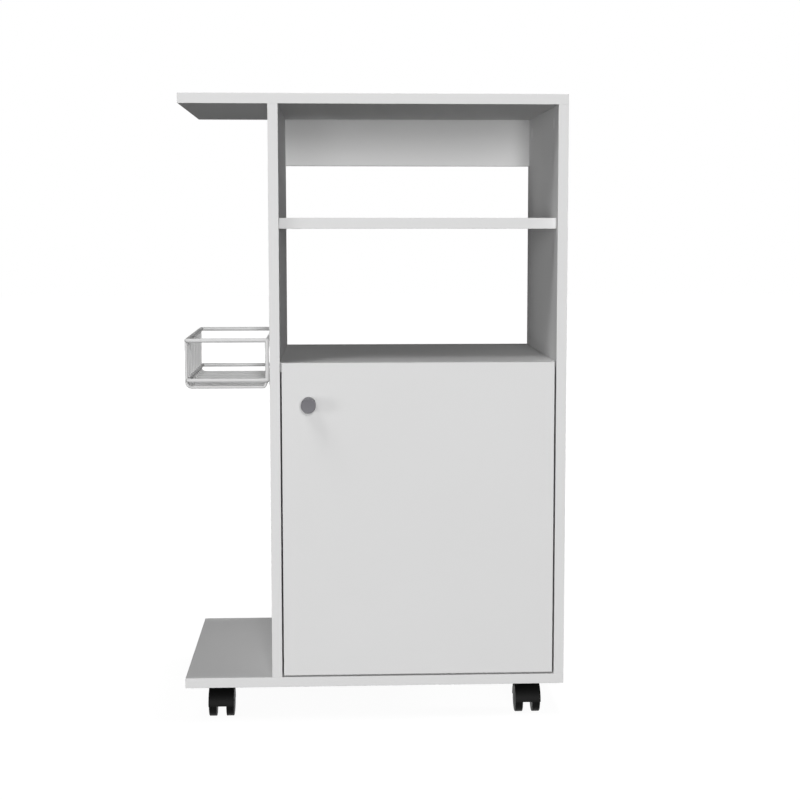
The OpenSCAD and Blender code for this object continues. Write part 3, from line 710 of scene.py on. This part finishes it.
for corner in CORNERS:
    for side in SIDES:
        name = f"{corner}_{side}"
        wheel("caster_wheel_" + name, "wheel_" + name, 1 if side == "right" else -1)
    for node, body, ease in (
        ("caster_hood_", "swivel_" + corner, HOOD_EASE),
        ("caster_plate_", "cabinet", PLATE_EASE),
    ):
        piece = (node + corner, HOOD_PLASTIC, body, "caster_plastic", ease)
        eased_copy(*piece, steps=2, outline=False)

# ---------------------------------------------------------------- CAD nodes with a new finish

BRIGHT = ["cam_bolts", "base_screws", "knob_screw", "basket_screws"]
BRIGHT += ["hinge_" + part for part in ("cups", "cup_screws", "pins", "arms", "arm_screws")]
BRIGHT += [f"caster_{part}_{corner}" for part in ("kingpin", "axle") for corner in CORNERS]
CAD_FINISHES = (
    (zinc("zinc_bright", 206, 0.22), BRIGHT),
    (zinc("zinc_dull", 186, 0.34), ("cam_locks", "back_panel_nails", "caster_screws")),
    (hardboard(), ("back_panel",)),
    (beech(), ("wood_dowels",)),
    (clear_rubber(), ("door_bumpers",)),
)
for finish, nodes in CAD_FINISHES:
    for node in nodes:
        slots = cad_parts[node].data.materials
        for index in range(len(slots)):
            slots[index] = finish

# ---------------------------------------------------------------- floor, light and camera

FLOOR_REACH = 14
# The squares of the distances from the middle between which the glow rises to 1
GLOW_NEAR, GLOW_FAR = 0.5, 3.0


def floor(bounce, glow):
    """A pale floor. Eyes, gloss and glass see its colour plus a glow, which rises away from the
    middle to a full white. Everything else sees its colour alone."""
    sockets = {"Specular IOR Level": 0.0, "Base Color": (bounce, bounce, bounce, 1)}
    f = Finish("floor", Roughness=1.0, **sockets)
    away = f.axis(0) * f.axis(0) + f.axis(1) * f.axis(1)
    white = f.mix(away.rise(GLOW_NEAR, GLOW_FAR), (glow, glow, glow, 1), WHITE)
    lit = f.node("ShaderNodeEmission", {}, {"Color": white})
    both = f.node("ShaderNodeAddShader", {}, {0: f.shell.outputs[0], 1: lit.outputs[0]})
    sockets = {0: f.seen(), 1: f.shell.outputs[0], 2: both.outputs[0]}
    choice = f.node("ShaderNodeMixShader", {}, sockets)
    f.feed(f.output.inputs["Surface"], choice.outputs[0])
    corners = np.array([(-1, -1, 0), (1, -1, 0), (1, 1, 0), (-1, 1, 0)]) * FLOOR_REACH
    mesh = bpy.data.meshes.new("floor")
    mesh.from_pydata(corners.tolist(), [], [(0, 1, 2, 3)])
    mesh.materials.append(f.material)
    made = bpy.data.objects.new("floor", mesh)
    bpy.context.collection.objects.link(made)


def surroundings(fill):
    """White for eyes and gloss, and an even fill for everything else."""
    world = bpy.data.worlds.new("surroundings")
    world.use_nodes = True
    tree = Tree(world.node_tree)
    strength = tree.seen() * (1 - fill) + fill
    light = tree.node("ShaderNodeBackground", {}, {"Color": WHITE, "Strength": strength})
    tree.node("ShaderNodeOutputWorld", {}, {"Surface": light.outputs[0]})
    bpy.context.scene.world = world


LAMP_AT = 7.0
AIM = np.array([0.0, 0.0, 0.5])
# Turn from the front and lift, in degrees, size in metres, watts, and whether it shows in gloss
LAMPS = {
    "front": (3.3, 2, 0.8, 128, True),
    "front_high": (3.3, 11.5, 1.2, 186, True),
    "front_left": (-12, 2, 1.2, 36, True),
    "left": (-50, 2, 2.0, 82, True),
    "left_top": (-50, 58, 3.0, 140, True),
    "overhead": (90, 87, 0.8, 200, False),
    "right": (90, 10, 0.5, 230, True),
    "behind": (180, 0, 0.5, 125, False),
}


def lamp(name, turn, lift, size, watts, shine):
    """A square soft lamp, LAMP_AT away from the aim and turned to it."""
    turn, lift = math.radians(turn), math.radians(lift)
    flat = math.cos(lift)
    away = np.array([math.sin(turn) * flat, -math.cos(turn) * flat, math.sin(lift)])
    data = bpy.data.lights.new(name, "AREA")
    data.shape, data.size, data.energy = "SQUARE", size, watts
    made = bpy.data.objects.new(name, data)
    bpy.context.collection.objects.link(made)
    made.location = AIM + LAMP_AT * away
    made.rotation_euler = (math.acos(away[2]), 0, math.atan2(away[0], -away[1]))
    made.visible_camera, made.visible_glossy = False, shine


for name, values in LAMPS.items():
    lamp(name, *values)
floor(bounce=0.1, glow=0.95)
surroundings(fill=0.01)

# The camera as solved from the boards' edges
eye = bpy.data.cameras.new("camera")
eye.sensor_width, eye.lens = 36.0, 70.04
eye.shift_x, eye.shift_y = -0.01445, -0.02573
camera = bpy.data.objects.new("camera", eye)
bpy.context.collection.objects.link(camera)
camera.location = (-0.05659, -2.45799, 0.74498)
camera.rotation_euler = (math.radians(90 - 5.6782), 0, math.radians(-2.77382))
bpy.context.scene.camera = camera
bpy.context.scene.view_settings.view_transform = "Standard"
